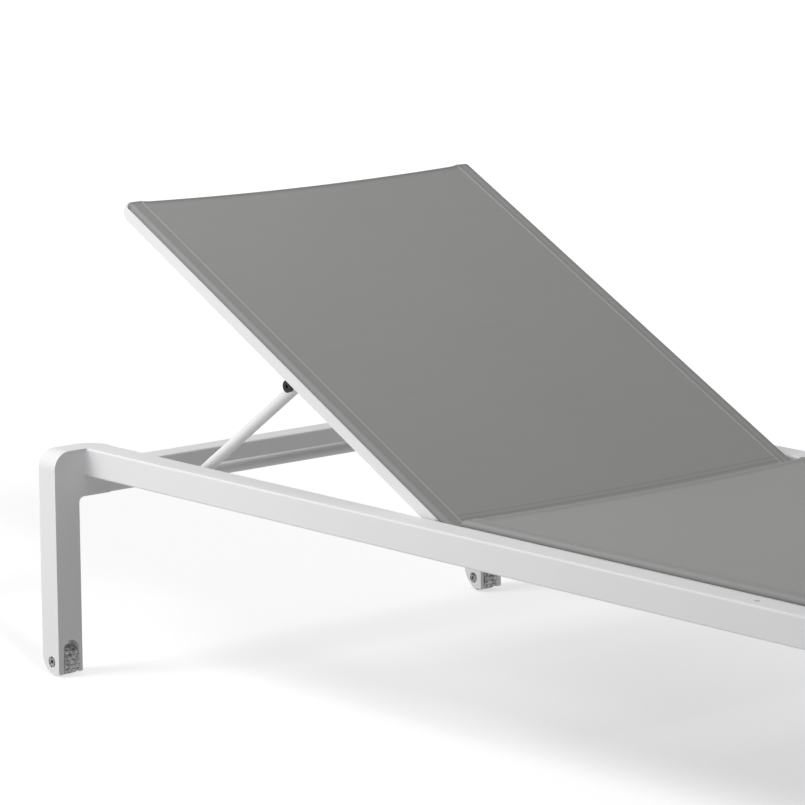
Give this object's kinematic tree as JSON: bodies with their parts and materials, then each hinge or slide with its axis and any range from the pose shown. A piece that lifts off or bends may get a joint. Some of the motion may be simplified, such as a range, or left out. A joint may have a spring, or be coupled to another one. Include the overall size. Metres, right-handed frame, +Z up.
{
  "type": "sun lounger",
  "caption": "Low white-framed sun lounger with a stretched grey mesh seat, a tilting backrest on a folding stay and a small wheel in each head leg.",
  "frame": {"origin": "on the ground, under the middle of the lounger's box", "axes": "+X from the head end to the foot end, +Y to the left of a person lying face up, +Z up"},
  "size_m": [1.95, 0.735, 0.587],
  "materials": {
    "coat_cast": "smooth white powder coat on cast aluminium, satin",
    "coat_aluminium": "smooth white powder coat on extruded aluminium, satin",
    "sling_cloth": "fine grey coated mesh, slightly shiny threads",
    "white_plastic": "white moulded plastic, satin",
    "steel": "plain stainless steel",
    "black_bolt": "black coated steel, slightly glossy",
    "dark_plastic": "dark moulded plastic",
    "tyre_rubber": "grey soft tread, matte",
    "grey_nylon": "grey nylon, matte"
  },
  "bodies": {
    "frame": {"corner_head_right": "coat_cast", "corner_head_left": "coat_cast", "corner_foot_right": "coat_cast", "corner_foot_left": "coat_cast", "rail_right": "coat_aluminium", "rail_left": "coat_aluminium", "crossbar_head": "coat_aluminium", "crossbar_foot": "coat_aluminium", "axle_right": "steel", "axle_left": "steel", "glide_right": "dark_plastic", "glide_left": "dark_plastic", "rack_right": "coat_aluminium", "rack_left": "coat_aluminium", "rack_rivets": "steel", "hinge_bolts": "steel", "hinge_bushes": "grey_nylon", "seat_bar_right": "coat_aluminium", "seat_bar_left": "coat_aluminium", "seat_spreader_head": "coat_aluminium", "seat_spreader_middle": "coat_aluminium", "seat_spreader_foot": "coat_aluminium", "seat_end_caps": "white_plastic", "seat_keders": "dark_plastic", "seat_screws": "steel", "seat_spacers": "grey_nylon", "seat_sling": "sling_cloth"},
    "backrest": {"back_bar_right": "coat_aluminium", "back_bar_left": "coat_aluminium", "back_spreader_top": "coat_aluminium", "back_spreader_middle": "coat_aluminium", "back_spreader_bottom": "coat_aluminium", "back_end_caps": "white_plastic", "back_keders": "dark_plastic", "back_sling": "sling_cloth", "lug_right": "coat_aluminium", "lug_left": "coat_aluminium", "pivot_bolts": "black_bolt", "pivot_spacers": "grey_nylon"},
    "stay": {"stay_arm_right": "coat_aluminium", "stay_arm_left": "coat_aluminium", "stay_foot_tube": "coat_aluminium", "stay_caps": "dark_plastic"},
    "wheel_right": {"wheel_hub_right": "grey_nylon", "wheel_tyre_right": "tyre_rubber"},
    "wheel_left": {"wheel_hub_left": "grey_nylon", "wheel_tyre_left": "tyre_rubber"}
  },
  "joints": [
    {"name": "backrest_tilt", "type": "hinge", "parent": "frame", "child": "backrest", "pos_m": [-0.3363, 0, 0.2747], "axis": [0, 1, 0], "range_deg": [-27.67, 22.33]},
    {"name": "stay_swing", "type": "hinge", "parent": "backrest", "child": "stay", "pos_m": [-0.60506, 0, 0.39869], "axis": [0, 1, 0], "range_deg": [-50.6, 62.6]},
    {"name": "wheel_right_spin", "type": "hinge", "parent": "frame", "child": "wheel_right", "pos_m": [-0.9565, -0.348, 0.018], "axis": [0, 1, 0], "continuous": true},
    {"name": "wheel_left_spin", "type": "hinge", "parent": "frame", "child": "wheel_left", "pos_m": [-0.9565, 0.348, 0.018], "axis": [0, 1, 0], "continuous": true}
  ],
  "couplings": [
    {"joint": "stay_swing", "follows": "backrest_tilt", "ratio": -2.26}
  ]
}
